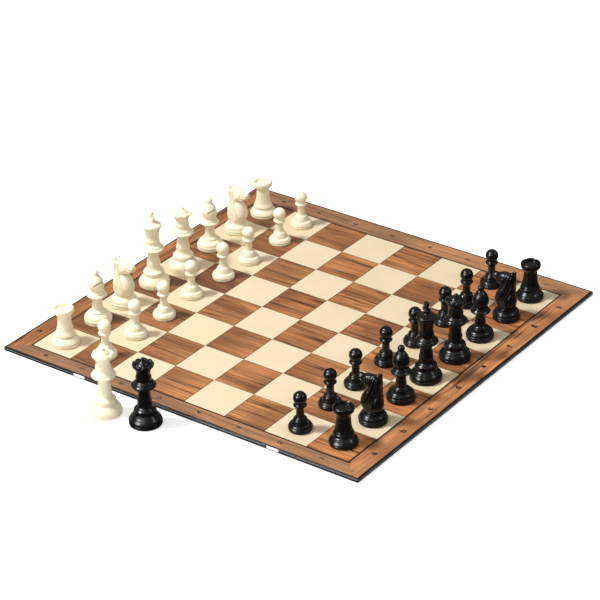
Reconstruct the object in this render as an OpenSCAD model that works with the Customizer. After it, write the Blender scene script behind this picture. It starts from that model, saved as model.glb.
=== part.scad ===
// Chess set on a two-leaf folding board, with two spare queens standing beside it.
// X runs from file a to file h, Y from rank 1 to rank 8 and Z up. The origin is the centre of the board's
// underside, on the fold. Millimetres.

/* [Board] */
// Side of one square
square = 54; // [50:1:60]
// Mean width of the border around the 8 by 8 squares
border = 26.2; // [20:0.1:30]
// How far the printed squares sit off the board's middle towards file h
field_x = -4; // [-4:0.1:4]
// How far the printed squares sit off the board's middle towards rank 8
field_y = 1.35; // [-4:0.05:4]
// Thickness of the whole board
board_t = 4.4; // [4:0.1:7]
// Thickness of the printed top sheet
print_t = 0.4; // [0.3:0.1:0.6]
// Thickness of the black cover under a leaf
cover_t = 0.5; // [0.4:0.1:0.8]
// Thickness of the black cover on a leaf's edges
edge_t = 1.6; // [1:0.1:2]
// Width of one wing of the hinge tape
tape_w = 14; // [8:1:20]
// Thickness of the hinge tape
tape_t = 0.3; // [0.2:0.1:0.4]
// Gap between the two leaves
fold_gap = 0.8; // [0.8:0.1:1.2]
// Length of one edge label
label_w = 15.5; // [8:0.5:18]
// Distance of an edge label's middle from the fold
label_y = 132; // [60:1:180]

/* [Men] */
// Height of a king, to the top of its cross
king_h = 95.5; // [88:0.5:100]
// Height of a queen, to the top of its ball
queen_h = 81.6; // [76:0.2:86]
// Height of a bishop
bishop_h = 67; // [62:0.5:72]
// Height of a knight
knight_h = 61; // [56:0.5:63]
// Height of a rook
rook_h = 46.5; // [44:0.5:52]
// Height of a pawn
pawn_h = 46.5; // [42:0.5:49]
// Base diameter of kings and queens
royal_d = 36.8; // [34:0.2:40]
// Base diameter of bishops, knights and rooks
officer_d = 32.4; // [30:0.2:35]
// Base diameter of pawns
pawn_d = 26.6; // [25:0.2:29]
// Thickness of the plug that closes a man from below
plug_t = 3.6; // [3:0.2:4.2]
// Radial clearance around a weight in its recess
weight_clear = 0.15; // [0.1:0.05:0.3]

/* [Hidden] */
$fn = 64;
half = 4 * square + border;
seam = 0.15;
label_t = 0.15;
spine_r = 0.25;
slit_w = 1.3;
curve_steps = 6;
file_names = ["a", "b", "c", "d", "e", "f", "g", "h"];

white_plastic = "ivory";
black_plastic = [0.06, 0.06, 0.07];

// Officers: name, kind, [file, rank] and how far the man stands off the square's centre, [x, y].
// A spare queen's square is null and its place is on the table, from the board's centre.
officers = [
    ["white_rook_a", "rook", [0, 7], [-3, -1]],
    ["white_bishop_b", "bishop", [1, 7], [3, 1]],
    ["white_knight_c", "knight", [2, 7], [-3.7, 1.3]],
    ["white_king", "king", [3, 7], [0, 2]],
    ["white_queen", "queen", [4, 7], [-3, -2]],
    ["white_bishop_f", "bishop", [5, 7], [2, 3]],
    ["white_knight_g", "knight", [6, 7], [1.1, 2.2]],
    ["white_rook_h", "rook", [7, 7], [-1, 1]],
    ["black_rook_a", "rook", [0, 0], [1, -2]],
    ["black_knight_b", "knight", [1, 0], [1, -3]],
    ["black_bishop_c", "bishop", [2, 0], [2, -2]],
    ["black_king", "king", [3, 0], [-1, -1]],
    ["black_queen", "queen", [4, 0], [1, -3]],
    ["black_bishop_f", "bishop", [5, 0], [1, -2]],
    ["black_knight_g", "knight", [6, 0], [2, -3]],
    ["black_rook_h", "rook", [7, 0], [3, -1]],
];
spare_queens = [["white_queen_spare", [-281, 62]], ["black_queen_spare", [-273, 13]]];
white_pawn_shift = [[0, -3], [1, -2], [-1, -2], [2, 2], [4, -2], [-1, -3], [5, -5], [1, -1]];
black_pawn_shift = [[-2, -2], [1, -1], [-3, 0], [2, 0], [2, -3], [6.4, -5.3], [2, -3], [4, -2]];

// Rows of an outline: radius, height, and how far the stretch that ends there bows outwards (or inwards,
// below 0). Each outline starts on the base plug and ends on the axis.
royal_foot = [
    [18.2, 3.75, 0], [18.4, 4.6, 0.1], [17.9, 6.5, 0.1], [15, 10.5, 0.3], [12.6, 13.2, 0.2], [12, 13.8, 0],
    [12.4, 15.8, 0.3], [12.2, 18, 0.1], [11.4, 19.4, 0.2], [8.6, 22.4, -0.3], [7.9, 25.5, -0.1],
    [8, 29.5, 0.1], [7.2, 32.5, 0], [6.7, 37.5, 0], [6.4, 40.6, 0], [8.8, 45, -0.6], [12.7, 46.5, -0.1],
    [13.4, 47.6, 0.2], [13.3, 49, 0.2], [11, 50.8, -0.2], [10, 52.6, 0.3], [8.5, 54.6, -0.2], [8.3, 56.6, 0],
    [8.6, 58.5, 0.2], [8, 60.5, 0],
];
king_head = [
    [7.6, 62.5, -0.1], [7.8, 65, -0.1], [9.9, 73.4, -0.4], [10.9, 76, -0.2], [11.2, 78.2, 0.2],
    [10.3, 79.4, 0.2], [4.2, 81.9, 0.4], [3.4, 83.5, -0.2], [0, 83.5, 0],
];
queen_head = [
    [7.7, 62.5, -0.1], [7.9, 65, -0.1], [8.8, 67.8, -0.2], [10.2, 70, -0.2], [11.7, 72, 0.2], [11.8, 73.4, 0.1],
    [11.3, 74.8, 0.2], [10.3, 75, 0], [8.8, 73.6, 0], [7.4, 74, 0], [2.2, 78.2, 0.8], [1.9, 78.6, 0],
    [2.3, 79.4, 0.04], [0, 81.6, 0.66],
];
officer_foot = [
    [15.8, 3.75, 0], [16.2, 4.35, 0.1], [15.9, 6, 0.2], [15.3, 6.3, 0], [15.3, 6.9, 0], [11.2, 11.9, 0.9],
    [9.1, 12.6, 0], [9, 14.6, 0.4],
];
bishop_top = [
    [6.3, 16.6, -0.3], [6.1, 21, 0], [5.7, 25.5, 0], [5.8, 28, 0], [9.6, 33.2, -0.6], [11.1, 33.9, 0.1],
    [11.2, 35.4, 0.3], [8.9, 37.2, 0], [8.7, 38.7, 0.4], [7, 39.6, 0], [7.2, 41, 0], [9.3, 48.6, 0.7],
    [3.3, 60, 1.2], [2.9, 60.4, 0], [3.9, 63.1, 0.3], [0, 67, 1.14],
];
rook_outline = [
    [15.8, 3.75, 0], [16.2, 4.6, 0.1], [15.2, 6.4, 0.1], [13.2, 8.8, 0.2], [11.2, 10.6, 0.1], [10.9, 11, 0],
    [11.6, 12.6, 0.3], [11.4, 14.4, 0.1], [10.4, 16.6, -0.1], [9.3, 20, -0.2], [8.5, 24, -0.1], [8.1, 28, 0],
    [7.8, 33, 0], [7.8, 35.4, 0], [9.6, 38.4, -0.2], [10.9, 40, -0.1], [11.5, 41.6, 0.1], [11.6, 44, 0.1],
    [11, 46, 0.3], [10.2, 46.5, 0.1], [9, 45.6, 0.1], [8.6, 43.4, 0], [0, 42.8, 0],
];
pawn_outline = [
    [13, 3.75, 0], [13.3, 4.2, 0.1], [13.2, 5, 0.1], [12.7, 5.3, 0], [12.5, 6, 0.1], [10.3, 8.2, 0.5],
    [9, 8.5, 0], [8.4, 10.6, 0.1], [7.4, 13.4, 0.2], [5, 15.6, 0.7], [4.5, 16.2, 0], [4.35, 20, 0],
    [4.4, 25.2, 0], [5.6, 27.8, -0.2], [7, 29.4, -0.3], [7.3, 30.2, 0.15], [7, 30.9, 0.2], [5.2, 32, -0.2],
    [5.2, 33.36, 0], [7.6, 38.9, 0.63], [0, 46.5, 2.23],
];

// Side view of a knight: forward, height, and the bow of the stretch that ends there
knight_side = [
    [9.7, 13.9, 0], [13, 19.5, 0.3], [13.6, 27, 0.5], [8.3, 38, 0.8], [4.4, 41.2, 0.4], [4, 42.6, -0.4],
    [7.4, 42.6, 0.2], [12.8, 44.8, 0.5], [16.6, 47.2, -0.2], [18, 49, 0.3], [18.4, 52.8, 0.2],
    [16.6, 55.6, 0.5], [10, 56, -0.5], [2, 57.4, 0.3], [-3.6, 58, 0], [-6.2, 60.4, 0.3], [-7.8, 61, 0.3],
    [-9.4, 60, 0.2], [-10.2, 57, 0.2], [-10.2, 50, 0.2], [-9.6, 41, -0.2], [-11.2, 25, -0.3],
    [-11.4, 19.5, 0.2], [-9.7, 13.9, 0.3],
];
// Half width of a knight against its height, front view
knight_front = [
    [9.7, 13.8], [9.9, 19], [9.6, 26], [8.6, 33], [7.2, 40], [6.3, 45], [5.8, 50], [5.2, 55], [4.7, 59],
    [3.4, 61.1],
];

// Points of the stretch from p to q, a circular arc that bows sideways by b at its middle
function bow(p, q, b) = b == 0 ? [q] :
    let (h = (q - p) / 2, c = norm(h), out = [h[1], -h[0]] / c, r = (c * c + b * b) / (2 * b),
        reach = 2 * atan(b / c), middle = p + h + out * (b - r))
    [for (i = [1:curve_steps])
        let (a = reach * (2 * i / curve_steps - 1)) middle + (h / c * sin(a) + out * cos(a)) * r];

// Points of an outline, with radii scaled by sr and heights above z0 by sz
function outline(rows, sr, sz, z0) =
    [for (i = [0:len(rows) - 1])
        for (p = i == 0 ? [[rows[0][0], rows[0][1]]]
                : bow([rows[i - 1][0], rows[i - 1][1]], [rows[i][0], rows[i][1]], rows[i][2]))
            [p[0] * sr, z0 + (p[1] - z0) * sz]];

function top_of(rows) = max([for (row = rows) row[1]]);
function square_centre(place) = [field_x + (place[0] - 3.5) * square, field_y + (place[1] - 3.5) * square];

// Recess in a man's foot for its weight: [radius, height] above the seam
function recess(base_d) = [base_d * 0.29, base_d * 0.2];

// A turned man's body with its recess, above the plug
module turned_body(rows, base_d, height) {
    sr = base_d / 2 / rows[1][0];
    z0 = plug_t + seam;
    sz = (height - z0) / (top_of(rows) - z0);
    hole = recess(base_d);
    rotate_extrude()
        polygon(concat([[0, z0 + hole[1]], [hole[0], z0 + hole[1]], [hole[0], z0]], outline(rows, sr, sz, z0)));
}

// The plug that closes a man from below
module plug(base_d) {
    r = base_d / 2;
    rotate_extrude()
        polygon(concat([[0, 0], [r - 1.2, 0]], bow([r - 1.2, 0], [r - 0.2, 1], 0.2),
            bow([r - 0.2, 1], [r - 0.6, plug_t], 0.3), [[0, plug_t]]));
}

// The steel weight in a man's foot
module weight(base_d) {
    hole = recess(base_d);
    color("darkgray")
        translate([0, 0, plug_t + weight_clear])
            cylinder(h = hole[1] - weight_clear, r = hole[0] - weight_clear);
}

module king_body() {
    arm = 4.6;
    foot = 1.7;
    bar = 1.9;
    mid = king_h - 8.2;
    turned_body(concat(royal_foot, king_head), royal_d, king_h - 12);
    // cross with flared arms
    rotate([0, 0, -16])
        rotate([90, 0, 0])
            linear_extrude(height = 4, center = true)
                union() {
                    polygon([[-3.4, king_h - 15], [3.4, king_h - 15], [bar, mid], [3.1, king_h], [-3.1, king_h],
                        [-bar, mid]]);
                    polygon([[-arm, mid - 2.9], [0, mid - foot], [arm, mid - 2.9], [arm, mid + 2.9],
                        [0, mid + foot], [-arm, mid + 2.9]]);
                }
}

module queen_body() {
    points = 9;
    difference() {
        turned_body(concat(royal_foot, queen_head), royal_d, queen_h);
        // scallops around the coronet
        for (i = [0:points - 1])
            rotate([0, 0, i * 360 / points])
                translate([8, 0, queen_h - 5.6])
                    rotate([0, 90, 0])
                        cylinder(h = 6, r = 2.9, $fn = 32);
    }
}

module bishop_body() {
    difference() {
        turned_body(concat(officer_foot, bishop_top), officer_d, bishop_h);
        // slit in the mitre
        translate([0, 0, bishop_h * 0.7])
            rotate([0, -38, 0])
                translate([3, -12, -slit_w / 2])
                    cube([14, 24, slit_w]);
    }
}

module rook_body() {
    difference() {
        turned_body(rook_outline, officer_d, rook_h);
        // four narrow slots in the rim
        for (turn = [60, 150])
            rotate([0, 0, turn])
                translate([-15, -0.65, rook_h - 1.8])
                    cube([30, 1.3, 4]);
    }
}

module knight_body() {
    turned_body(concat(officer_foot, [[0, 15.4, 0]]), officer_d, 15.4);
    intersection() {
        rotate([90, 0, 0])
            linear_extrude(height = 24, center = true)
                polygon(outline(knight_side, 1, knight_h / 61, 0));
        rotate([90, 0, 90])
            linear_extrude(height = 60, center = true)
                polygon(concat([for (p = knight_front) p],
                    [for (i = [len(knight_front) - 1:-1:0]) [-knight_front[i][0], knight_front[i][1]]]));
    }
}

module pawn_body() {
    turned_body(pawn_outline, pawn_d, pawn_h);
}

// A whole man at the origin, without the weight
module man(kind) {
    if (kind == "king") king_body();
    if (kind == "queen") queen_body();
    if (kind == "bishop") bishop_body();
    if (kind == "knight") knight_body();
    if (kind == "rook") rook_body();
    if (kind == "pawn") pawn_body();
    plug(base_of(kind));
}

function base_of(kind) = kind == "king" || kind == "queen" ? royal_d : kind == "pawn" ? pawn_d : officer_d;
function is_white(name) = name[0] == "w";
function plastic(name) = is_white(name) ? white_plastic : black_plastic;

// Places its children on a square, facing the other side
module stand(name, place, shift) {
    centre = square_centre(place) + shift;
    translate([centre[0], centre[1], board_t])
        rotate([0, 0, is_white(name) ? -90 : 90])
            children();
}

module officer(entry) {
    color(plastic(entry[0]))
        stand(entry[0], entry[2], entry[3])
            man(entry[1]);
}

module officer_weight(entry) {
    stand(entry[0], entry[2], entry[3])
        weight(base_of(entry[1]));
}

module pawn(name, place, shift) {
    stand(name, place, shift) {
        color(plastic(name))
            man("pawn");
        weight(pawn_d);
    }
}

module spare_queen(entry) {
    translate([entry[1][0], entry[1][1], 0])
        rotate([0, 0, 35]) {
            color(plastic(entry[0]))
                man("queen");
            weight(royal_d);
        }
}

// Moves a leaf drawn for y from 0 to half to its own side of the fold
module leaf(side) {
    if (side == "white_side")
        children();
    else
        translate([0, -fold_gap, 0])
            mirror([0, 1, 0])
                children();
}

leaf_depth = half;
bed = board_t - print_t;

module core(side) {
    depth = leaf_depth - (side == "white_side" ? 0 : fold_gap);
    color("gray")
        leaf(side)
            difference() {
                translate([-half + edge_t, edge_t, cover_t])
                    cube([2 * (half - edge_t), depth - 2 * edge_t, bed - cover_t]);
                translate([-half, -1, bed - tape_t])
                    cube([2 * half, 1 + tape_w, tape_t + 1]);
            }
}

module cover(side) {
    depth = leaf_depth - (side == "white_side" ? 0 : fold_gap);
    color(black_plastic)
        leaf(side)
            difference() {
                translate([-half, 0, 0])
                    cube([2 * half, depth, board_t]);
                translate([-half + edge_t, edge_t, cover_t])
                    cube([2 * (half - edge_t), depth - 2 * edge_t, board_t]);
                translate([-half + edge_t, -1, bed - tape_t])
                    cube([2 * (half - edge_t), 2 + edge_t, board_t]);
            }
}

module print(side) {
    depth = leaf_depth - (side == "white_side" ? 0 : fold_gap);
    color("tan")
        leaf(side)
            translate([-half + edge_t, 0, bed])
                cube([2 * (half - edge_t), depth - edge_t, print_t]);
}

module hinge_tape(side) {
    color("dimgray")
        leaf(side)
            translate([-half + edge_t, 0, bed - tape_t])
                cube([2 * (half - edge_t), tape_w, tape_t]);
    // the white side's wing carries the fold's round spine
    if (side == "white_side")
        color("dimgray") {
            translate([-half + edge_t, -fold_gap / 2, bed - tape_t])
                cube([2 * (half - edge_t), fold_gap / 2, tape_t]);
            translate([-half + edge_t, -fold_gap / 2, board_t - spine_r])
                rotate([0, 90, 0])
                    cylinder(h = 2 * (half - edge_t), r = spine_r);
        }
}

module edge_labels(side) {
    color("whitesmoke")
        leaf(side)
            for (s = [-1, 1])
                translate([s * (half + label_t / 2), label_y, board_t * 0.6])
                    cube([label_t, label_w, board_t * 0.66], center = true);
}

for (side = ["white_side", "black_side"]) {
    core(side);
    cover(side);
    print(side);
    hinge_tape(side);
    edge_labels(side);
}
for (entry = officers) {
    officer(entry);
    officer_weight(entry);
}
for (entry = spare_queens)
    spare_queen(entry);
for (i = [0:7]) {
    white = str("white_pawn_", file_names[i]);
    black = str("black_pawn_", file_names[i]);
    pawn(white, [i, 6], white_pawn_shift[i]);
    pawn(black, [i, 1], black_pawn_shift[i]);
}
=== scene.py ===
"""Looks of the chess set: a folding board with a wood print, 32 men on it and a spare queen of each colour.

X runs from file a to file h, Y from rank 1 to rank 8 and Z up. Outlines of the men are in millimetres, from
the man's own foot, and everything else is in metres.
"""

import math

import bmesh
import bpy
import numpy as np
from mathutils import Matrix, Quaternion, Vector


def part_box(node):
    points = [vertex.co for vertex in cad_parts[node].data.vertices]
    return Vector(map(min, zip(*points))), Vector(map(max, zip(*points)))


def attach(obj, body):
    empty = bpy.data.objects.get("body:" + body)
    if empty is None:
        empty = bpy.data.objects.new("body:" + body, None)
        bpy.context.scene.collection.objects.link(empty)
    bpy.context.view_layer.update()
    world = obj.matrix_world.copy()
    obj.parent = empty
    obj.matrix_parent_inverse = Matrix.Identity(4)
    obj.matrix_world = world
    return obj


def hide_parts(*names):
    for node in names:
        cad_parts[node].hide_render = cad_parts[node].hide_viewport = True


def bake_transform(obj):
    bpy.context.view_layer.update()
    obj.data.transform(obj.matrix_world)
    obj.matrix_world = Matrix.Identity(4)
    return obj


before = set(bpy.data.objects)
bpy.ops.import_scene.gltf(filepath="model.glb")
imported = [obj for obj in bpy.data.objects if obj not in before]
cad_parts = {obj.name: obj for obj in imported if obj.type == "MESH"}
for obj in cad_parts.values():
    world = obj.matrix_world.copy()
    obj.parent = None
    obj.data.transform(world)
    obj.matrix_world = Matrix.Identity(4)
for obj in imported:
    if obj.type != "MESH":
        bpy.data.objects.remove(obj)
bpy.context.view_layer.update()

MM = 0.001
SQUARE = 0.054
FILES = "abcdefgh"

# Middle of the 64 squares, which lie a little off the board's middle, and half their width.
FIELD_X = -0.004
FIELD_Y = 0.00135
FIELD = 4 * SQUARE
SIDES = ("white_side", "black_side")
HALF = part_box("white_side_cover")[1].x
BOARD_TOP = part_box("white_side_cover")[1].z
EDGE_ROUND = 1.1 * MM
PRINT_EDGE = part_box("white_side_print")[1].x


# ----------------------------------------------------------------------------------------------------
# Camera, light and floor

def set_camera():
    """Looks at the board from the a-file side, a little to black's side of it, through a long lens."""
    azimuth = math.radians(-54.0)
    elevation = math.radians(29.25)
    roll = math.radians(-0.9)
    distance = 3.015
    target = Vector((0.0374 + FIELD_X, 0.0269 + FIELD_Y, BOARD_TOP))
    back = Vector((math.sin(azimuth) * math.cos(elevation), -math.cos(azimuth) * math.cos(elevation),
                   math.sin(elevation)))
    data = bpy.data.cameras.new("camera")
    data.lens = 155.9
    data.clip_start = 0.1
    data.clip_end = 40
    camera = bpy.data.objects.new("camera", data)
    camera.location = target + back * distance
    camera.rotation_mode = "QUATERNION"
    camera.rotation_quaternion = back.to_track_quat("Z", "Y") @ Quaternion((0, 0, 1), roll)
    bpy.context.scene.collection.objects.link(camera)
    bpy.context.scene.camera = camera


def add_light(name, azimuth, elevation, distance, size, power, colour=(1, 1, 1)):
    """A square soft box that looks at the middle of the board.

    Azimuth 0 is on black's side of the board and 90 on its h-file side.
    """
    a, e = math.radians(azimuth), math.radians(elevation)
    back = Vector((math.sin(a) * math.cos(e), -math.cos(a) * math.cos(e), math.sin(e)))
    data = bpy.data.lights.new(name, "AREA")
    data.size = size
    data.energy = power
    data.color = colour
    light = bpy.data.objects.new(name, data)
    light.location = back * distance
    light.rotation_mode = "QUATERNION"
    light.rotation_quaternion = back.to_track_quat("Z", "Y")
    bpy.context.scene.collection.objects.link(light)
    return light


def set_light():
    """A sky that brightens upwards, three soft boxes and a fourth that only adds highlights."""
    world = bpy.data.worlds.new("studio")
    world.use_nodes = True
    tree = world.node_tree
    place = tree.nodes.new("ShaderNodeTexCoord")
    split = tree.nodes.new("ShaderNodeSeparateXYZ")
    rise = tree.nodes.new("ShaderNodeMapRange")
    rise.inputs["From Min"].default_value = 0.0
    rise.inputs["From Max"].default_value = 0.9
    rise.inputs["To Min"].default_value = 0.08
    rise.inputs["To Max"].default_value = 0.54
    background = tree.nodes["Background"]
    background.inputs["Color"].default_value = (1, 0.96, 0.9, 1)
    tree.links.new(place.outputs["Generated"], split.inputs[0])
    tree.links.new(split.outputs["Z"], rise.inputs["Value"])
    tree.links.new(rise.outputs[0], background.inputs["Strength"])
    bpy.context.scene.world = world
    add_light("key", azimuth=-135, elevation=58, distance=2.2, size=0.32, power=48, colour=(0.97, 1, 1.03))
    add_light("front", azimuth=-80, elevation=38, distance=2.4, size=1.0, power=11)
    add_light("right", azimuth=15, elevation=40, distance=2.4, size=0.3, power=6)
    shine = add_light("shine", azimuth=-108, elevation=26, distance=2.4, size=1.0, power=72)
    shine.visible_diffuse = False
    view = bpy.context.scene.view_settings
    view.view_transform = "Standard"
    view.look = "None"


def add_floor():
    """A pale matt plane just under the board, which the gloss of the men doesn't mirror."""
    mesh = bpy.data.meshes.new("floor")
    reach, gap = 12, 0.0002
    corners = [(-reach, -reach), (reach, -reach), (reach, reach), (-reach, reach)]
    mesh.from_pydata([(x, y, -gap) for x, y in corners], [], [(0, 1, 2, 3)])
    floor = bpy.data.objects.new("floor", mesh)
    bpy.context.scene.collection.objects.link(floor)
    graph = Graph("floor")
    graph.shader.inputs["Base Color"].default_value = (0.8, 0.8, 0.8, 1)
    graph.shader.inputs["Roughness"].default_value = 0.9
    graph.shader.inputs["Specular IOR Level"].default_value = 0.1
    graph.shader.inputs["Emission Color"].default_value = (1, 1, 1, 1)
    graph.shader.inputs["Emission Strength"].default_value = 0.4
    mesh.materials.append(graph.material)
    floor.visible_glossy = False


# ----------------------------------------------------------------------------------------------------
# Materials

class Graph:
    """A short way to write a material: each call adds a node and returns its output socket."""

    def __init__(self, name):
        self.material = bpy.data.materials.new(name)
        self.material.use_nodes = True
        self.tree = self.material.node_tree
        self.shader = self.tree.nodes["Principled BSDF"]

    def add(self, kind, inputs, output=0, **settings):
        node = self.tree.nodes.new(kind)
        for key, value in settings.items():
            setattr(node, key, value)
        for key, value in dict(inputs).items():
            self.put(node.inputs[key], value)
        return node.outputs[output]

    def put(self, socket, value):
        if isinstance(value, bpy.types.NodeSocket):
            self.tree.links.new(value, socket)
        else:
            socket.default_value = value

    def point(self):
        """The point of the surface in its object's own coordinates."""
        return self.add("ShaderNodeTexCoord", {}, output="Object")

    def place(self):
        """The same point as three outputs: x, y and z."""
        split = self.tree.nodes.new("ShaderNodeSeparateXYZ")
        self.put(split.inputs[0], self.point())
        return tuple(split.outputs)

    def vector(self, x, y, z):
        return self.add("ShaderNodeCombineXYZ", {0: x, 1: y, 2: z})

    def math(self, operation, *values):
        return self.add("ShaderNodeMath", enumerate(values), operation=operation)

    def plus(self, first, second):
        return self.math("ADD", first, second)

    def minus(self, first, second):
        return self.math("SUBTRACT", first, second)

    def times(self, first, second):
        return self.math("MULTIPLY", first, second)

    def between(self, value, low, high, new_low=0.0, new_high=1.0):
        """value, mapped so that low to high becomes new_low to new_high, held at the ends."""
        return self.add("ShaderNodeMapRange", {0: value, 1: low, 2: high, 3: new_low, 4: new_high})

    def line(self, value, centre, inner, outer, strength=1.0):
        """strength where value is within inner of centre, falling to 0 at outer."""
        off = self.math("ABSOLUTE", self.minus(value, centre))
        return self.between(off, inner, outer, strength, 0.0)

    def noise(self, vector, scale, detail=3.0, roughness=0.5):
        return self.add("ShaderNodeTexNoise", {"Vector": vector, "Scale": scale, "Detail": detail,
                                               "Roughness": roughness})

    def mix(self, amount, first, second):
        return self.add("ShaderNodeMix", {0: amount, 6: first, 7: second}, output=2, data_type="RGBA")

    def blend_values(self, amount, first, second):
        return self.add("ShaderNodeMix", {0: amount, 2: first, 3: second}, data_type="FLOAT")

    def colour(self, socket):
        self.put(self.shader.inputs["Base Color"], socket)

    def roughness(self, socket):
        self.put(self.shader.inputs["Roughness"], socket)

    def bump(self, height, strength, distance):
        """Height in metres is height times distance."""
        normal = self.add("ShaderNodeBump", {"Strength": strength, "Distance": distance, "Height": height})
        self.put(self.shader.inputs["Normal"], normal)


def rgb(red, green, blue):
    """A linear colour from display values between 0 and 255."""
    def linear(value):
        value /= 255
        return value / 12.92 if value <= 0.04045 else ((value + 0.055) / 1.055) ** 2.4
    return (linear(red), linear(green), linear(blue), 1.0)


def walnut(graph, across, along, seed, tone, hue):
    """Colour of walnut with its grain in the direction of along.

    seed picks the plank, tone darkens it, both as the plank's own tone and as painted shade, and hue
    reddens it.
    """
    bend = graph.vector(graph.times(across, 0.4), graph.times(along, 0.3), seed)
    waved = graph.plus(across, graph.times(graph.noise(bend, 22.0, detail=1.0), 0.012))

    def grain(scale, stretch, offset, detail):
        """Noise that is drawn out along the grain and follows its waves."""
        point = graph.vector(waved, graph.times(along, stretch), graph.plus(seed, offset))
        return graph.noise(point, scale, detail, roughness=0.55)

    bands = grain(70.0, 0.06, 0.0, 1.0)
    figure = grain(150.0, 0.045, 7.3, 2.0)
    fibres = grain(420.0, 0.04, 1.7, 3.0)
    veins = grain(120.0, 0.025, 3.1, 1.0)
    hairs = grain(190.0, 0.03, 9.4, 1.0)
    pores = grain(650.0, 0.05, 5.9, 2.0)
    patch = graph.vector(graph.times(across, 0.5), along, graph.plus(seed, 13.0))
    drift = graph.noise(patch, 14.0, detail=1.0)
    colour = graph.mix(hue, rgb(210, 144, 86), rgb(194, 120, 72))
    for amount, layer in (
            (graph.between(bands, 0.38, 0.66), rgb(142, 88, 50)),
            (graph.between(figure, 0.52, 0.72, 0.0, 0.45), rgb(102, 68, 42)),
            (graph.between(fibres, 0.5, 0.3, 0.0, 0.5), rgb(214, 160, 110)),
            (graph.line(veins, 0.5, 0.006, 0.022, 0.9), rgb(54, 32, 20)),
            (graph.line(hairs, 0.52, 0.006, 0.024, 0.6), rgb(88, 54, 34)),
            (graph.between(pores, 0.6, 0.7, 0.0, 0.55), rgb(70, 42, 26)),
            (graph.between(drift, 0.46, 0.7, 0.0, 0.55), rgb(96, 58, 38)),
            (tone, rgb(92, 58, 40))):
        colour = graph.mix(amount, colour, layer)
    return colour


def printed_squares(graph, x, y):
    """Colour of the field: cream squares, and walnut ones that are each a plank with a fine outline and
    painted shade towards white's end.
    """
    column = graph.math("FLOOR", graph.math("DIVIDE", x, SQUARE))
    row = graph.math("FLOOR", graph.math("DIVIDE", y, SQUARE))

    def draw(first, second, third):
        """A value between 0 and 1 that is steady within a square."""
        return graph.add("ShaderNodeTexWhiteNoise", {"Vector": graph.vector(first, second, third)})

    def edge_distance(value):
        """Distance from the nearest line between squares."""
        share = graph.math("FRACT", graph.math("DIVIDE", value, SQUARE))
        return graph.times(graph.math("MINIMUM", share, graph.minus(1.0, share)), SQUARE)

    seed = graph.times(draw(column, row, 0.5), 40.0)
    # painted shade: the dark squares darken towards white's end, where the white men's shadows fall
    painted_shade_at_white_end = graph.between(y, 0.03, 0.09, 0.0, 0.42)
    tone = graph.plus(graph.between(draw(row, column, 3.5), 0.0, 1.0, 0.0, 0.18), painted_shade_at_white_end)
    dark = walnut(graph, x, y, seed, tone, draw(row, column, 8.5))
    rim = graph.math("MINIMUM", edge_distance(x), edge_distance(y))
    dark = graph.mix(graph.between(rim, 0.0006, 0.0014, 0.85, 0.0), dark, rgb(62, 46, 26))

    cloud = graph.noise(graph.vector(x, y, 0.0), 26.0, detail=2.0)
    fleck = graph.noise(graph.vector(x, graph.times(y, 0.12), 0.0), 420.0, detail=2.0)
    light = graph.mix(graph.between(cloud, 0.35, 0.65), rgb(220, 198, 170), rgb(214, 197, 162))
    light = graph.mix(graph.between(fleck, 0.45, 0.75, 0.0, 0.22), light, rgb(216, 192, 150))

    parity = graph.math("FLOORED_MODULO", graph.plus(column, row), 2.0)
    return graph.mix(parity, dark, light)


def printed_border(graph, x, y, far_x, far_y):
    """Colour of the border: four walnut planks, mitred at the corners, with painted shade towards white's
    end and a painted sheen that greys the side planks.
    """
    on_side = graph.math("GREATER_THAN", far_x, far_y)
    across = graph.blend_values(on_side, y, x)
    along = graph.blend_values(on_side, x, y)
    seed = graph.plus(graph.times(on_side, 11.0), graph.times(graph.math("SIGN", across), 3.7))
    # painted shade: the side planks darken towards white's end and the a-file, and the plank at white's end
    # is darker all over
    painted_side_shade = graph.times(graph.between(x, 0.1, -0.1, 0.4, 1.0), graph.between(y, -0.12, 0.2, 0.12, 0.45))
    painted_end_shade = graph.times(graph.math("GREATER_THAN", y, 0.0), 0.32)
    border = walnut(graph, across, along, seed, graph.blend_values(on_side, painted_end_shade, painted_side_shade), 0.5)
    for amount, layer in (
            (graph.between(y, 0.1, -0.22, 0.0, 0.15), rgb(206, 150, 110)),
            # painted sheen: the side planks are greyed
            (graph.times(on_side, 0.35), rgb(144, 118, 92)),
            (graph.line(far_x, far_y, 0.0002, 0.0007, 0.35), rgb(80, 52, 34))):
        border = graph.mix(amount, border, layer)
    return border


def print_material():
    """The board's printed sheet: its squares, a dark line round them, a wooden border and a black rim."""
    graph = Graph("board_print")
    board_x, board_y, _ = graph.place()
    x, y = graph.minus(board_x, FIELD_X), graph.minus(board_y, FIELD_Y)
    far_x, far_y = graph.math("ABSOLUTE", x), graph.math("ABSOLUTE", y)
    far = graph.math("MAXIMUM", far_x, far_y)
    squares, border = printed_squares(graph, x, y), printed_border(graph, x, y, far_x, far_y)
    surface = graph.mix(graph.math("GREATER_THAN", far, FIELD), squares, border)
    half_line, rim_width, fade = 0.0008, 0.0013, 0.0004
    frame_line = graph.line(far, FIELD + half_line, half_line, half_line + fade)
    lined = graph.mix(frame_line, surface, rgb(30, 16, 14))
    sheet = graph.math("MAXIMUM", graph.math("ABSOLUTE", board_x), graph.math("ABSOLUTE", board_y))
    rim = graph.between(sheet, PRINT_EDGE - rim_width, PRINT_EDGE - rim_width + fade)
    graph.colour(graph.mix(rim, lined, rgb(14, 12, 12)))
    graph.shader.inputs["Specular IOR Level"].default_value = 0.3
    sheen = graph.noise(graph.vector(x, y, 0.0), 60.0, detail=3.0)
    graph.roughness(graph.between(sheen, 0.3, 0.7, 0.42, 0.52))
    linen = graph.noise(graph.vector(x, y, 0.0), 1500.0, detail=1.0)
    graph.bump(linen, 0.15, 0.00005)
    return graph.material


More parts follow.
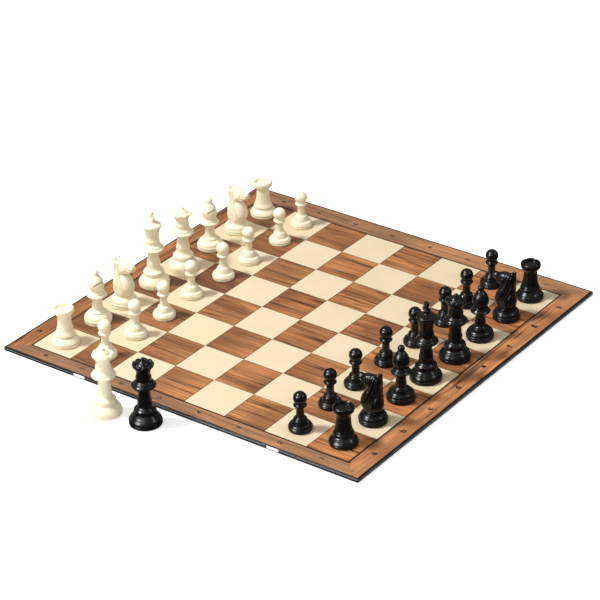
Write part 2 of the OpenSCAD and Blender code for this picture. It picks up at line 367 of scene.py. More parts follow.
def plastic_material(name, base, shade, low, high, specular, subsurface=0.0):
    """Moulded plastic: a colour that drifts a little, faint flow marks and slightly uneven gloss."""
    graph = Graph(name)
    point = graph.point()
    drift = graph.noise(point, 35.0, detail=2.0)
    graph.colour(graph.mix(graph.between(drift, 0.35, 0.65), base, shade))
    uneven = graph.noise(point, 180.0, detail=3.0)
    graph.roughness(graph.between(uneven, 0.3, 0.7, low, high))
    peel = graph.noise(point, 900.0, detail=2.0)
    graph.bump(peel, 0.08, 0.00002)
    graph.shader.inputs["Specular IOR Level"].default_value = specular
    if subsurface:
        graph.shader.inputs["Subsurface Weight"].default_value = subsurface
        graph.shader.inputs["Subsurface Radius"].default_value = (1.0, 0.7, 0.4)
        graph.shader.inputs["Subsurface Scale"].default_value = 0.002
    return graph.material


def cover_material():
    """Black paper wrap with a fine leather-like emboss, and a painted highlight: a grey line along its
    outer sides just under the top.
    """
    graph = Graph("board_cover")
    point = graph.point()
    _, _, height = graph.place()
    cells = graph.add("ShaderNodeTexVoronoi", {"Vector": point, "Scale": 900.0})
    drift = graph.noise(point, 40.0, detail=3.0)
    black = graph.mix(graph.between(drift, 0.3, 0.7), rgb(9, 9, 10), rgb(15, 15, 16))
    # painted highlight: a grey band round the sides, 1.5 mm under the board's top
    painted_sheen_line = graph.line(height, BOARD_TOP - 1.5 * MM, 0.15 * MM, 0.45 * MM)
    wear_and_sheen = graph.times(painted_sheen_line, graph.between(drift, 0.3, 0.6, 0.45, 0.9))
    graph.colour(graph.mix(wear_and_sheen, black, rgb(150, 150, 148)))
    graph.roughness(graph.between(drift, 0.3, 0.7, 0.3, 0.42))
    graph.shader.inputs["Specular IOR Level"].default_value = 0.3
    graph.bump(cells, 0.25, 0.00008)
    return graph.material


def core_material():
    """Grey board: short pale and dark fibres in pressed pulp."""
    graph = Graph("board_core")
    point = graph.point()
    pulp = graph.noise(point, 500.0, detail=4.0)
    flecks = graph.add("ShaderNodeTexVoronoi", {"Vector": point, "Scale": 700.0})
    grey = graph.mix(graph.between(pulp, 0.35, 0.65), rgb(150, 146, 138), rgb(182, 177, 167))
    graph.colour(graph.mix(graph.between(flecks, 0.0, 0.2, 0.5, 0.0), grey, rgb(96, 92, 88)))
    graph.roughness(0.9)
    graph.bump(pulp, 0.4, 0.0001)
    return graph.material


def tape_material():
    """Black bookbinding cloth, a plain weave of 0.5 mm threads."""
    graph = Graph("hinge_tape")
    x, y, _ = graph.place()
    threads = 2 * math.pi / 0.0005
    warp = graph.math("SINE", graph.times(x, threads))
    weft = graph.math("SINE", graph.times(y, threads))
    weave = graph.times(warp, weft)
    graph.colour(graph.mix(graph.between(weave, -1.0, 1.0), rgb(20, 20, 22), rgb(52, 50, 50)))
    graph.roughness(0.85)
    graph.bump(weave, 0.5, 0.0001)
    return graph.material


def label_material():
    """Blank matt paper."""
    graph = Graph("edge_label")
    point = graph.point()
    fibre = graph.noise(point, 800.0, detail=4.0)
    graph.colour(graph.mix(graph.between(fibre, 0.35, 0.65), rgb(226, 225, 220), rgb(212, 210, 202)))
    graph.roughness(0.75)
    graph.bump(fibre, 0.2, 0.00004)
    return graph.material


def ink_material():
    """Dark brown printing ink of the coordinates."""
    graph = Graph("coordinate_ink")
    point = graph.point()
    wear_and_sheen = graph.noise(point, 1200.0, detail=2.0)
    graph.colour(graph.mix(graph.between(wear_and_sheen, 0.35, 0.7), rgb(26, 8, 5), rgb(40, 12, 8)))
    graph.roughness(0.5)
    return graph.material


def steel_material():
    """Turned steel with concentric tool marks about the vertical."""
    graph = Graph("steel_weight")
    point = graph.point()
    marks = graph.noise(point, 1500.0, detail=2.0)
    graph.shader.inputs["Metallic"].default_value = 1.0
    graph.colour(graph.mix(graph.between(marks, 0.3, 0.7), rgb(168, 170, 174), rgb(132, 134, 138)))
    graph.roughness(graph.between(marks, 0.3, 0.7, 0.3, 0.45))
    graph.bump(marks, 0.2, 0.00003)
    return graph.material


# ----------------------------------------------------------------------------------------------------
# Meshes

def new_object(name, mesh):
    thing = bpy.data.objects.new(name, mesh)
    bpy.context.scene.collection.objects.link(thing)
    return thing


def object_from(name, mesh):
    """A new object with the shape of a bmesh, which is freed."""
    data = bpy.data.meshes.new(name)
    mesh.to_mesh(data)
    mesh.free()
    return new_object(name, data)


def apply_modifiers(thing):
    """Replaces the object's mesh with the result of its modifiers."""
    evaluated = thing.evaluated_get(bpy.context.evaluated_depsgraph_get())
    mesh = bpy.data.meshes.new_from_object(evaluated)
    mesh.name = thing.name
    thing.modifiers.clear()
    thing.data = mesh


def smooth(mesh, angle=42):
    """Shades a mesh smooth except at edges sharper than angle, in degrees."""
    mesh.shade_smooth()
    mesh.set_sharp_from_angle(angle=math.radians(angle))


def combine(body, tool, operation):
    """Unites tool with body, or cuts it away from body, and deletes tool."""
    modifier = body.modifiers.new("combine", "BOOLEAN")
    modifier.operation = operation
    modifier.solver = "EXACT"
    modifier.object = tool
    apply_modifiers(body)
    bpy.data.objects.remove(tool)


def thicken(thing, thickness):
    """Gives an open sheet a back, below its surface."""
    modifier = thing.modifiers.new("back", "SOLIDIFY")
    modifier.thickness = thickness
    modifier.offset = -1
    apply_modifiers(thing)


def bow(start, end, bulge):
    """Points after start on the way to end, on an arc that bows outwards by bulge at its middle."""
    if not bulge:
        return [end]
    start, end = Vector(start), Vector(end)
    half = (end - start) / 2
    out = Vector((half.y, -half.x)).normalized()
    radius = (half.length ** 2 + bulge ** 2) / (2 * bulge)
    reach = 2 * math.atan(bulge / half.length)
    centre = start + half + out * (bulge - radius)
    steps = 8
    points = []
    for i in range(1, steps + 1):
        angle = reach * (2 * i / steps - 1)
        ray = half.normalized() * math.sin(angle) + out * math.cos(angle)
        points.append(tuple(centre + ray * radius))
    return points


def outline(rows):
    """Points of an outline from rows of radius, height and the bow of the stretch that ends there."""
    points = [(rows[0][0], rows[0][1])]
    for row in rows[1:]:
        points += bow(points[-1], (row[0], row[1]), row[2])
    return points


def soften(points):
    """Rounds each corner of an outline that turns by 25 degrees or more."""
    least, reach = math.radians(25), 0.3
    rounded = [points[0]]
    for before, corner, after in zip(points, points[1:], points[2:]):
        back = Vector(before) - Vector(corner)
        on = Vector(after) - Vector(corner)
        turn = math.pi - back.angle(on)
        if turn < least:
            rounded.append(corner)
            continue
        cut = min(reach, 0.45 * back.length, 0.45 * on.length)
        first = Vector(corner) + back.normalized() * cut
        last = Vector(corner) + on.normalized() * cut
        for t in (0, 0.25, 0.5, 0.75, 1):
            rounded.append(tuple(first * (1 - t) ** 2 + Vector(corner) * 2 * t * (1 - t) + last * t * t))
    rounded.append(points[-1])
    return rounded


# Keeps the finely divided circles inside the design's coarser ones.
SLIM = 0.999


def lathe(name, points, segments=96):
    """A closed turned solid. points run from the axis, round the outside and back to it, in millimetres."""
    points = [(radius * SLIM, height) for radius, height in points]
    mesh = bmesh.new()
    rings = []
    for radius, height in points:
        if radius < 1e-6:
            rings.append([mesh.verts.new((0, 0, height * MM))])
            continue
        ring = []
        for i in range(segments):
            angle = 2 * math.pi * i / segments
            x, y = radius * MM * math.cos(angle), radius * MM * math.sin(angle)
            ring.append(mesh.verts.new((x, y, height * MM)))
        rings.append(ring)
    for lower, upper in zip(rings, rings[1:]):
        for i in range(segments):
            j = (i + 1) % segments
            if len(lower) == 1:
                mesh.faces.new((lower[0], upper[j], upper[i]))
            elif len(upper) == 1:
                mesh.faces.new((lower[i], lower[j], upper[0]))
            else:
                mesh.faces.new((lower[i], lower[j], upper[j], upper[i]))
    bmesh.ops.recalc_face_normals(mesh, faces=mesh.faces)
    return object_from(name, mesh)


def prism(name, corners, depth, bevel):
    """A flat outline in X and Z, extruded by depth about Y = 0, in millimetres, with rounded edges."""
    mesh = bmesh.new()
    front = [mesh.verts.new((x * MM, -depth / 2 * MM, z * MM)) for x, z in corners]
    back = [mesh.verts.new((x * MM, depth / 2 * MM, z * MM)) for x, z in corners]
    mesh.faces.new(front)
    mesh.faces.new(back[::-1])
    for i in range(len(corners)):
        j = (i + 1) % len(corners)
        mesh.faces.new((front[j], front[i], back[i], back[j]))
    bmesh.ops.recalc_face_normals(mesh, faces=mesh.faces)
    thing = object_from(name, mesh)
    modifier = thing.modifiers.new("bevel", "BEVEL")
    modifier.width = bevel * MM
    modifier.segments = 3
    modifier.limit_method = "ANGLE"
    apply_modifiers(thing)
    return thing


def block(name, size, centre, turn=None):
    """A box of size in millimetres, turned about its middle by the matrix turn and moved to centre."""
    mesh = bmesh.new()
    bmesh.ops.create_cube(mesh, size=1, matrix=Matrix.Diagonal((*(Vector(size) * MM), 1)))
    move = Matrix.Translation(Vector(centre) * MM)
    bmesh.ops.transform(mesh, matrix=move @ turn if turn else move, verts=mesh.verts)
    return object_from(name, mesh)


def surface_net(field, origin, cell):
    """Vertices and quads of the surface where a grid of distances passes through 0, negative inside."""
    inside = field < 0
    shape = tuple(n - 1 for n in field.shape)
    total = np.zeros(shape + (3,))
    count = np.zeros(shape)
    for axis in range(3):
        others = [i for i in range(3) if i != axis]
        for a in (0, 1):
            for b in (0, 1):
                low = [slice(0, n) for n in shape]
                low[others[0]] = slice(a, a + shape[others[0]])
                low[others[1]] = slice(b, b + shape[others[1]])
                high = list(low)
                high[axis] = slice(1, 1 + shape[axis])
                start, end = field[tuple(low)], field[tuple(high)]
                crosses = inside[tuple(low)] != inside[tuple(high)]
                step = np.where(crosses, start / np.where(crosses, start - end, 1.0), 0.0)
                total[..., axis] += step
                total[..., others[0]] += np.where(crosses, a, 0)
                total[..., others[1]] += np.where(crosses, b, 0)
                count += crosses
    used = count > 0
    number = np.full(shape, -1)
    number[used] = np.arange(used.sum())
    corner = np.argwhere(used)
    points = (corner + total[used] / count[used][:, None]) * cell + np.array(origin)
    quads = []
    for axis in range(3):
        others = [i for i in range(3) if i != axis]
        core = [slice(1, n) for n in shape]
        core[axis] = slice(0, shape[axis])
        nxt = list(core)
        nxt[axis] = slice(1, 1 + shape[axis])
        here, there = inside[tuple(core)], inside[tuple(nxt)]
        at = np.argwhere(here != there) + np.array([0 if i == axis else 1 for i in range(3)])
        outward = here[here != there]
        if axis == 1:
            outward = ~outward
        u, v = np.eye(3, dtype=int)[others[0]], np.eye(3, dtype=int)[others[1]]
        ring = [at, at - u, at - u - v, at - v]
        ids = np.stack([number[tuple(p.T)] for p in ring], axis=1)
        ids[~outward] = ids[~outward][:, ::-1]
        quads.append(ids)
    return points, np.concatenate(quads)


# ----------------------------------------------------------------------------------------------------
# The men

PLUG_TOP = 3.6
SEAM = 0.15

# Outlines: radius, height and bow of the stretch that ends there. They start at the top of the seam.
ROYAL_FOOT = [
    (18.2, 3.75, 0), (18.4, 4.6, 0.1), (17.9, 6.5, 0.1), (15, 10.5, 0.3), (12.6, 13.2, 0.2),
    (12, 13.8, 0), (12.4, 15.8, 0.3), (12.2, 18, 0.1), (11.4, 19.4, 0.2), (8.6, 22.4, -0.3),
    (7.9, 25.5, -0.1), (8, 29.5, 0.1), (7.2, 32.5, 0), (6.7, 37.5, 0), (6.4, 40.6, 0), (8.8, 45, -0.6),
    (12.7, 46.5, -0.1), (13.4, 47.6, 0.2), (13.3, 49, 0.2), (11, 50.8, -0.2), (10, 52.6, 0.3),
    (8.5, 54.6, -0.2), (8.3, 56.6, 0), (8.6, 58.5, 0.2), (8, 60.5, 0),
]
KING_HEAD = [
    (7.6, 62.5, -0.1), (7.8, 65, -0.1), (9.9, 73.4, -0.4), (10.9, 76, -0.2), (11.2, 78.2, 0.2),
    (10.3, 79.4, 0.2), (4.2, 81.9, 0.4), (3.4, 83.5, -0.2), (0, 83.5, 0),
]
QUEEN_HEAD = [
    (7.7, 62.5, -0.1), (7.9, 65, -0.1), (8.8, 67.8, -0.2), (10.2, 70, -0.2), (11.7, 72, 0.2),
    (11.8, 73.4, 0.1), (11.3, 74.8, 0.2), (10.3, 75, 0), (8.8, 73.6, 0), (7.4, 74, 0), (2.2, 78.2, 0.8),
    (1.9, 78.6, 0), (2.3, 79.4, 0.04), (0, 81.6, 0.66),
]
OFFICER_FOOT = [
    (15.8, 3.75, 0), (16.2, 4.35, 0.1), (15.9, 6, 0.2), (15.3, 6.3, 0), (15.3, 6.9, 0),
    (11.2, 11.9, 0.9), (9.1, 12.6, 0), (9, 14.6, 0.4),
]
BISHOP_TOP = [
    (6.3, 16.6, -0.3), (6.1, 21, 0), (5.7, 25.5, 0), (5.8, 28, 0), (9.6, 33.2, -0.6), (11.1, 33.9, 0.1),
    (11.2, 35.4, 0.3), (8.9, 37.2, 0), (8.7, 38.7, 0.4), (7, 39.6, 0), (7.2, 41, 0), (9.3, 48.6, 0.7),
    (3.3, 60, 1.2), (2.9, 60.4, 0), (3.9, 63.1, 0.3), (0, 67, 1.14),
]
ROOK = [
    (15.8, 3.75, 0), (16.2, 4.6, 0.1), (15.2, 6.4, 0.1), (13.2, 8.8, 0.2), (11.2, 10.6, 0.1),
    (10.9, 11, 0), (11.6, 12.6, 0.3), (11.4, 14.4, 0.1), (10.4, 16.6, -0.1), (9.3, 20, -0.2),
    (8.5, 24, -0.1), (8.1, 28, 0), (7.8, 33, 0), (7.8, 35.4, 0), (9.6, 38.4, -0.2), (10.9, 40, -0.1),
    (11.5, 41.6, 0.1), (11.6, 44, 0.1), (11, 46, 0.3), (10.2, 46.5, 0.1), (9, 45.6, 0.1),
    (8.6, 43.4, 0), (0, 42.8, 0),
]
PAWN = [
    (13, 3.75, 0), (13.3, 4.2, 0.1), (13.2, 5, 0.1), (12.7, 5.3, 0), (12.5, 6, 0.1), (10.3, 8.2, 0.5),
    (9, 8.5, 0), (8.4, 10.6, 0.1), (7.4, 13.4, 0.2), (5, 15.6, 0.7), (4.5, 16.2, 0), (4.35, 20, 0),
    (4.4, 25.2, 0), (5.6, 27.8, -0.2), (7, 29.4, -0.3), (7.3, 30.2, 0.15), (7, 30.9, 0.2),
    (5.2, 32, -0.2), (5.2, 33.36, 0), (7.6, 38.9, 0.63), (0, 46.5, 2.23),
]
BASE_RADIUS = {"king": 18.4, "queen": 18.4, "bishop": 16.2, "knight": 16.2, "rook": 16.2, "pawn": 13.3}


def recess(kind):
    """Radius and height of the hollow for the weight in a man's foot."""
    return BASE_RADIUS[kind] * 0.58, BASE_RADIUS[kind] * 0.4


def turned(name, rows, kind):
    """A turned body with the hollow for its weight."""
    radius, height = recess(kind)
    start = PLUG_TOP + SEAM
    hollow = [(0, start + height), (radius, start + height), (radius, start)]
    return lathe(name, hollow + soften(outline(rows)))


def king(name):
    body = turned(name, ROYAL_FOOT + KING_HEAD, "king")
    top, mid, arm = 95.5, 87.3, 4.8
    upright = [(-3.3, 82), (-1.7, mid - 1.6), (-1.7, mid + 1.6), (-2.9, top), (2.9, top), (1.7, mid + 1.6),
               (1.7, mid - 1.6), (3.3, 82)]
    arms = [(-arm, mid - 2.8), (-arm, mid + 2.8), (0, mid + 1.6), (arm, mid + 2.8), (arm, mid - 2.8),
            (0, mid - 1.6)]
    cross = prism("cross", upright, 4, bevel=0.5)
    combine(cross, prism("arms", arms, 3.9, bevel=0.5), "UNION")
    cross.data.transform(Matrix.Rotation(math.radians(-16), 4, "Z"))
    combine(body, cross, "UNION")
    return body


def queen(name):
    """The coronet's rim dips between its points."""
    body = turned(name, ROYAL_FOOT + QUEEN_HEAD, "queen")
    points, dip = 9, 1.9 * MM
    start, top, inner = 70.9 * MM, 75 * MM, 8.4 * MM
    for vertex in body.data.vertices:
        x, y, z = vertex.co
        if z < start or math.hypot(x, y) < inner:
            continue
        wave = abs(math.sin(points / 2 * math.atan2(y, x)))
        vertex.co.z = z - dip * (1 - wave ** 0.7) * (z - start) / (top - start)
    return body


def bishop(name):
    body = turned(name, OFFICER_FOOT + BISHOP_TOP, "bishop")
    slit = block("slit", (14, 24, 1.2), (8, 0, 53), Matrix.Rotation(math.radians(-38), 4, "Y"))
    combine(body, slit, "DIFFERENCE")
    return body


def rook(name):
    body = turned(name, ROOK, "rook")
    for turn in (60, 150):
        slot = block("slot", (30, 1.3, 4), (0, 0, 46.7), Matrix.Rotation(math.radians(turn), 4, "Z"))
        combine(body, slot, "DIFFERENCE")
    return body


def pawn(name):
    return turned(name, PAWN, "pawn")


def squared_distance(points, x, z):
    """Square of the distance from each point of the grid x, z to the line through points."""
    best = np.full(x.shape, np.inf)
    for (ax, az), (bx, bz) in zip(points, points[1:]):
        ex, ez = bx - ax, bz - az
        share = np.clip(((x - ax) * ex + (z - az) * ez) / (ex * ex + ez * ez), 0, 1)
        best = np.minimum(best, (x - ax - share * ex) ** 2 + (z - az - share * ez) ** 2)
    return best


def polygon_distance(points, x, z):
    """Distance from each point of the grid x, z to the closed outline, negative inside it."""
    closed = points + points[:1]
    inside = np.zeros(x.shape, dtype=bool)
    for (ax, az), (bx, bz) in zip(closed, closed[1:]):
        if az != bz:
            inside ^= ((az > z) != (bz > z)) & (x < ax + (z - az) * (bx - ax) / (bz - az))
    return np.where(inside, -1, 1) * np.sqrt(squared_distance(closed, x, z))


def step(value, low, high):
    """0 below low, 1 above high and a smooth rise between them."""
    share = np.clip((value - low) / (high - low), 0, 1)
    return share * share * (3 - 2 * share)


def groove(x, z, points, width):
    """1 on a line through points and falling to 0 about width away from it."""
    return np.exp(-squared_distance(points, x, z) / width ** 2)


def blob(x, z, centre, radius):
    """1 at centre and falling smoothly to 0 at radius."""
    away = np.hypot(x - centre[0], z - centre[1])
    return step(-away, -radius, 0)


def knight_relief(x, z):
    """Half width of a knight's neck and head at each point of its side view."""
    heights = [14.2, 19, 26, 33, 40, 45, 50, 55, 60]
    width = np.interp(z, heights, [9.7, 9.9, 9.6, 8.6, 7.2, 6.3, 5.8, 5.2, 4.0])
    # the head narrows to the muzzle, under the cheeks
    width -= 1.5 * step(x, 7, 13) * step(z, 41, 45)
    width += 0.8 * blob(x, z, (16.5, 52), 3.6)
    width += 0.9 * blob(x, z, (4.5, 48.8), 5.6)
    width -= 0.8 * groove(x, z, [(9.2, 46), (9.8, 48.5), (8.6, 51.2)], 0.9)
    # jaw curl
    turns = np.linspace(math.radians(20), math.radians(300), 12)
    curl = [(8.3 + 2.1 * math.cos(turn), 45.2 + 2.1 * math.sin(turn)) for turn in turns]
    width -= 1.2 * groove(x, z, curl, 0.6)
    # eye under its brow, nostril and mouth
    width -= 0.8 * blob(x, z, (8, 53.6), 2.6)
    width += 0.9 * blob(x, z, (8, 53.4), 1.6)
    width += 0.7 * groove(x, z, [(4.6, 54.4), (7.4, 55.6), (10.2, 55)], 0.7)
    width -= 1.0 * blob(x, z, (16.4, 53), 1.2)
    width -= 0.9 * groove(x, z, [(18.6, 50.9), (15.5, 50.3), (12.8, 49.2)], 0.5)
    # fold of the chest
    width -= 1.0 * groove(x, z, [(15, 25.5), (11.5, 21.5), (9.5, 18.5)], 1.0)
    # mane: locks that fall forwards over the neck and end in points
    fall = np.clip((54 - z) / 28, 0, 1)
    across = x + 1.4 - 9.5 * fall ** 1.5
    lock = np.abs(((across / 4.1) % 1) - 0.5) * 2
    end = 23.5 + 3.6 * lock ** 1.4 - 0.3 * across
    mane = step(z, end - 1.8, end + 1.8) * step(-across, -0.8, 0.8) * step(-z, -57.5, -54)
    width += mane * (2.1 * np.cos(lock * math.pi / 2) - 0.7)
    return width


def knight(name):
    """A horse's neck and head on the officers' foot."""
    side = outline([
        (9.7, 8, 0), (9.7, 14.2, 0), (13, 19.5, 0.3), (13.6, 27, 0.5), (8.3, 38, 0.8), (4.4, 41.2, 0.4),
        (4, 42.6, -0.4), (7.4, 42.6, 0.2), (12.8, 44.8, 0.5), (16.6, 47.2, -0.2), (18, 49, 0.3),
        (18.4, 52.8, 0.2), (16.6, 55.6, 0.5), (10, 56, -0.5), (2, 57.4, 0.3), (-6.5, 57.6, 0.4),
        (-9.8, 56, 0.4), (-10.6, 50, 0.3), (-9.8, 41, -0.2), (-11.2, 25, -0.3), (-11.4, 19.5, 0.2),
        (-9.7, 14.2, 0.3), (-9.7, 8, 0),
    ])
    cell = 0.35
    reach = ((-15, 20), (-11.9, 12), (9, 62))
    x, y, z = (np.arange(low, high, cell) for low, high in reach)
    flat_x, flat_z = np.meshgrid(x, z, indexing="ij")
    inner = -polygon_distance(side, flat_x, flat_z)
    width = knight_relief(flat_x, flat_z)
    rounding = np.interp(flat_z, [14, 20, 38, 46, 60], [9.7, 8.8, 6.5, 4.4, 3.6])
    rim = np.maximum(1 - inner / rounding, 0)[:, None, :]
    share = np.abs(y)[None, :, None] / np.maximum(width, 1)[:, None, :]
    power = np.interp(z, [15, 22], [2, 2.3])
    field = ((share ** power + rim ** power) ** (1 / power) - 1) * 4.5
    x3, y3, z3 = x[:, None, None], y[None, :, None], z[None, None, :]
    field = np.maximum(field, 10 - z3)
    # ears, each hollowed in front
    for sign in (-1, 1):
        ear = ellipsoid(x3 + 6.6, y3 - 3.0 * sign, z3 - 57.2, (3.0, 1.8, 3.7), lean=0.4)
        field = blend_solids(field, ear, 0.8)
        hollow = ellipsoid(x3 + 4.9, y3 - 3.4 * sign, z3 - 58.2, (1.5, 0.9, 2.3), lean=0.4)
        field = np.maximum(field, -hollow)
    points, quads = surface_net(field, (x[0], y[0], z[0]), cell)
    mesh = bpy.data.meshes.new("head")
    mesh.from_pydata((points * MM).tolist(), [], quads.tolist())
    head = new_object("head", mesh)
    relax = head.modifiers.new("relax", "SMOOTH")
    relax.factor = 0.5
    relax.iterations = 2
    apply_modifiers(head)
    body = turned(name, OFFICER_FOOT + [(0, 15.4, 0)], "knight")
    combine(body, head, "UNION")
    return body


def blend_solids(first, second, reach):
    """Union of two fields with a fillet of about reach."""
    share = np.clip(0.5 + 0.5 * (second - first) / reach, 0, 1)
    return second * (1 - share) + first * share - reach * share * (1 - share)


def ellipsoid(x, y, z, radii, lean):
    """Field of an ellipsoid whose top leans backwards."""
    x = x + lean * z
    length = np.sqrt((x / radii[0]) ** 2 + (y / radii[1]) ** 2 + (z / radii[2]) ** 2)
    return (length - 1) * min(radii)


MAKERS = {"king": king, "queen": queen, "bishop": bishop, "knight": knight, "rook": rook, "pawn": pawn}


def plug(name, kind):
    """The disc that closes a man from below."""
    radius = BASE_RADIUS[kind]
    rows = [(0, 0, 0), (radius - 1.2, 0, 0), (radius - 0.2, 1, 0.2), (radius - 0.6, PLUG_TOP, 0.3),
            (0, PLUG_TOP, 0)]
    return lathe(name, soften(outline(rows)))


def slug(name, kind):
    """The weight in a man's foot, for the men whose weight has no node of its own."""
    radius, height = recess(kind)
    play = 0.15
    bottom = PLUG_TOP + SEAM
    top = bottom + height - play
    rows = [(0, bottom, 0), (radius - play, bottom, 0), (radius - play, top, 0), (0, top, 0)]
    return lathe(name, soften(outline(rows)), segments=48)


def kind_of(node):
    """king in white_king, and for board nodes a word that is no man's kind."""
    return node.split("_")[1]


def men_nodes():
    """The nodes that are men, without their weights."""
    return [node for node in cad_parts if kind_of(node) in MAKERS and not node.endswith("_weight")]


def foot_of(node):
    """Where a man stands: under the middle of its weight, which is round, or else of its own node."""
    low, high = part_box(node)
    if node + "_weight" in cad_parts:
        weight_low, weight_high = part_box(node + "_weight")
        middle = (weight_low + weight_high) / 2
    else:
        middle = (low + high) / 2
    return Vector((middle.x, middle.y, low.z))


def add_men(plastics, steel):
    """Makes each kind of man once, in both colours, and sets copies of it where the design's men stand."""
    meshes = {}
    for kind, maker in MAKERS.items():
        for part, thing in (("body", maker(f"{kind}_body")), ("plug", plug(f"{kind}_plug", kind))):
            smooth(thing.data)
            for colour in ("white", "black"):
                mesh = thing.data.copy()
                mesh.materials.clear()
                mesh.materials.append(plastics[colour])
                meshes[kind, part, colour] = mesh
            bpy.data.objects.remove(thing)
    for kind in ("pawn", "queen"):
        thing = slug(f"{kind}_slug", kind)
        smooth(thing.data)
        thing.data.materials.append(steel)
        meshes[kind, "slug"] = thing.data
        bpy.data.objects.remove(thing)
    for node in men_nodes():
        colour, kind = node.split("_")[:2]
        facing = -90 if colour == "white" else 90
        foot = foot_of(node)
        place = Matrix.Translation(foot) @ Matrix.Rotation(math.radians(facing), 4, "Z")
        parts = [(part, meshes[kind, part, colour], colour + "_plastic") for part in ("body", "plug")]
        if node + "_weight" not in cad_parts:
            parts.append(("slug", meshes[kind, "slug"], "steel_weight"))
        for part, mesh, slot in parts:
            piece = new_object(f"{node}_{part}", mesh)
            piece.matrix_world = place
            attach(piece, node)
            if part == "body":
                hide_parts(node)


# ----------------------------------------------------------------------------------------------------
# The board

def rounded_wrap(side):
    """The black cover of one leaf: a tray with rounded outer edges and an open edge at the fold."""
    low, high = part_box(side + "_cover")
    core_low, core_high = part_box(side + "_core")
    fold = low.y if side == "white_side" else high.y
    near = 1e-6
    mesh = bmesh.new()
    bmesh.ops.create_cube(mesh, size=1, matrix=Matrix.Translation((low + high) / 2)
                          @ Matrix.Diagonal((*(high - low), 1)))
    outer = []
    for edge in mesh.edges:
        at_fold = [abs(vertex.co.y - fold) < near for vertex in edge.verts]
        if not all(at_fold):
            outer.append(edge)
    bmesh.ops.bevel(mesh, geom=outer, offset=EDGE_ROUND, segments=5, affect="EDGES", profile=0.5)
    wrap = object_from(side + "_wrap", mesh)
    reach = 0.002
    hollow_high = Vector((core_high.x, core_high.y, BOARD_TOP + reach))
    combine(wrap, box_between("hollow", core_low, hollow_high), "DIFFERENCE")
    tape_low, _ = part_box(side + "_hinge_tape")
    open_low = Vector((core_low.x, fold - reach, tape_low.z))
    open_high = Vector((core_high.x, fold + reach, BOARD_TOP + reach))
    combine(wrap, box_between("opening", open_low, open_high), "DIFFERENCE")
    smooth(wrap.data, 50)
    return wrap


def box_between(name, low, high):
    """A box from its lowest to its highest corner, in metres."""
    size = (high - low) / MM
    centre = (low + high) / 2 / MM
    return block(name, size, centre)


def label_sheets(side):
    """Two blank paper labels on the rounded outer edges of a leaf, one on each side of the board."""
    low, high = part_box(side + "_edge_labels")
    mesh = bmesh.new()
    paper, bottom = 0.12 * MM, 1.3 * MM
    profile = []
    for angle in (60, 45, 30, 15, 0):
        turn = math.radians(angle)
        profile.append((HALF - EDGE_ROUND + (EDGE_ROUND + paper) * math.cos(turn),
                        BOARD_TOP - EDGE_ROUND + (EDGE_ROUND + paper) * math.sin(turn)))
    profile += [(HALF + paper, (BOARD_TOP - EDGE_ROUND + bottom) / 2), (HALF + paper, bottom)]
    for sign in (-1, 1):
        columns = []
        for y in (low.y, low.y + 0.4 * MM, (low.y + high.y) / 2, high.y - 0.4 * MM, high.y):
            lift = -0.06 * MM if y in (low.y, high.y) else 0
            columns.append([mesh.verts.new((sign * (x + lift), y, z)) for x, z in profile])
        for first, second in zip(columns, columns[1:]):
            for i in range(len(profile) - 1):
                mesh.faces.new((first[i], first[i + 1], second[i + 1], second[i]))
    bmesh.ops.recalc_face_normals(mesh, faces=mesh.faces)
    sheets = object_from(side + "_label_sheets", mesh)
    thicken(sheets, 0.1 * MM)
    smooth(sheets.data)
    return sheets


def glyph(text, x, y, height):
    """A flat letter or digit, centred on x and y and just above the print."""
    font = bpy.data.curves.new("glyph", "FONT")
    font.body = text
    font.size = height
    font.align_x = "CENTER"
    font.align_y = "CENTER"
    font.extrude = 0.01 * MM
    font.resolution_u = 4
    font.offset = 0.045 * height
    letter = new_object("glyph", font)
    mesh = bpy.data.meshes.new_from_object(letter.evaluated_get(bpy.context.evaluated_depsgraph_get()))
    bpy.data.objects.remove(letter)
    middle = (Vector(max(v.co[i] for v in mesh.vertices) for i in range(3))
              + Vector(min(v.co[i] for v in mesh.vertices) for i in range(3))) / 2
    mesh.transform(Matrix.Translation(Vector((x, y, BOARD_TOP + 0.03 * MM)) - middle))
    return mesh


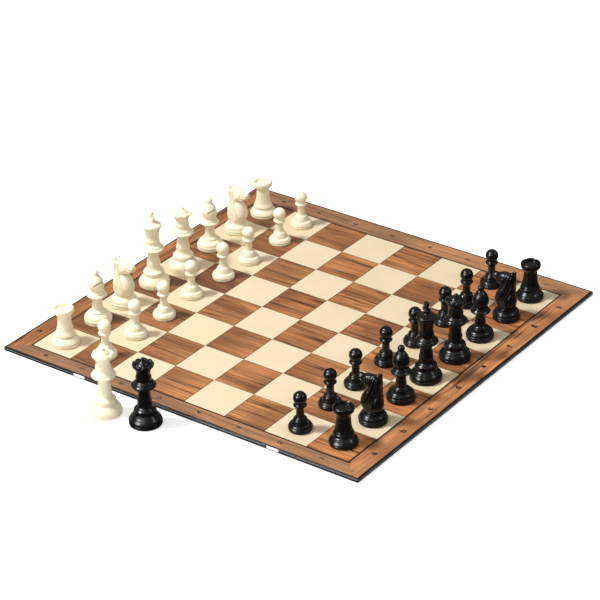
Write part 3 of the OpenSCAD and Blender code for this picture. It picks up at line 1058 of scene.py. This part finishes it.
def coordinates(side):
    """The letters and digits on a leaf's border, all upright as seen from black's side."""
    letter_height, digit_height = 0.0105, 0.0074
    letter_y, ranks = -FIELD - 0.0133, range(4)
    if side == "white_side":
        letter_y, ranks = FIELD + 0.0147, range(4, 8)
    place = []
    for i, letter in enumerate(FILES):
        place.append((letter, (i - 3.5) * SQUARE + 0.002, letter_y, letter_height))
    for rank in ranks:
        for x in (-FIELD - 0.0096, FIELD + 0.0136):
            place.append((str(rank + 1), x, (rank - 3.5) * SQUARE, digit_height))
    mesh = bmesh.new()
    for text, x, y, height in place:
        mesh.from_mesh(glyph(text, FIELD_X + x, FIELD_Y + y, height))
    return object_from(side + "_coordinates", mesh)


def fold_strip():
    """The print where it crosses the fold: a shallow valley between the leaves."""
    start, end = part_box("black_side_print")[1].y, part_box("white_side_print")[0].y
    mesh = bmesh.new()
    steps, spans = 8, 24
    rows = []
    for i in range(steps + 1):
        share = i / steps
        y = start + (end - start) * share
        z = BOARD_TOP + 0.03 * MM - 0.02 * MM * math.sin(math.pi * share)
        rows.append([mesh.verts.new((x * PRINT_EDGE, y, z)) for x in np.linspace(-1, 1, spans + 1)])
    for first, second in zip(rows, rows[1:]):
        for i in range(spans):
            mesh.faces.new((first[i], first[i + 1], second[i + 1], second[i]))
    strip = object_from("fold_strip", mesh)
    thicken(strip, 0.02 * MM)
    return strip, start, end


def add_board():
    """Covers, labels and coordinates of both leaves, looks of the carried layers, and the fold's strip."""
    cover, paper, ink, printed = cover_material(), label_material(), ink_material(), print_material()
    carried = {"core": core_material(), "print": printed, "hinge_tape": tape_material()}
    for side in SIDES:
        for layer, material in carried.items():
            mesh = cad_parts[f"{side}_{layer}"].data
            mesh.materials.clear()
            mesh.materials.append(material)
        for piece, material, slot, replaced in (
                (rounded_wrap(side), cover, "board_cover", side + "_cover"),
                (label_sheets(side), paper, "edge_label", side + "_edge_labels"),
                (coordinates(side), ink, "board_print", None)):
            piece.data.materials.clear()
            piece.data.materials.append(material)
            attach(piece, side)
            if replaced:
                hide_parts(replaced)
    strip, start, end = fold_strip()
    strip.data.materials.append(printed)
    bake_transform(strip)


set_camera()
set_light()
add_floor()
ivory = plastic_material("white_plastic", rgb(238, 230, 202), rgb(233, 222, 191), 0.34, 0.44, specular=0.5,
                         subsurface=0.25)
ebony = plastic_material("black_plastic", rgb(7, 7, 8), rgb(10, 10, 11), 0.2, 0.27, specular=0.3)
steel = steel_material()
add_men({"white": ivory, "black": ebony}, steel)
for node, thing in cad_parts.items():
    if node.endswith("_weight"):
        thing.data.materials.clear()
        thing.data.materials.append(steel)
add_board()
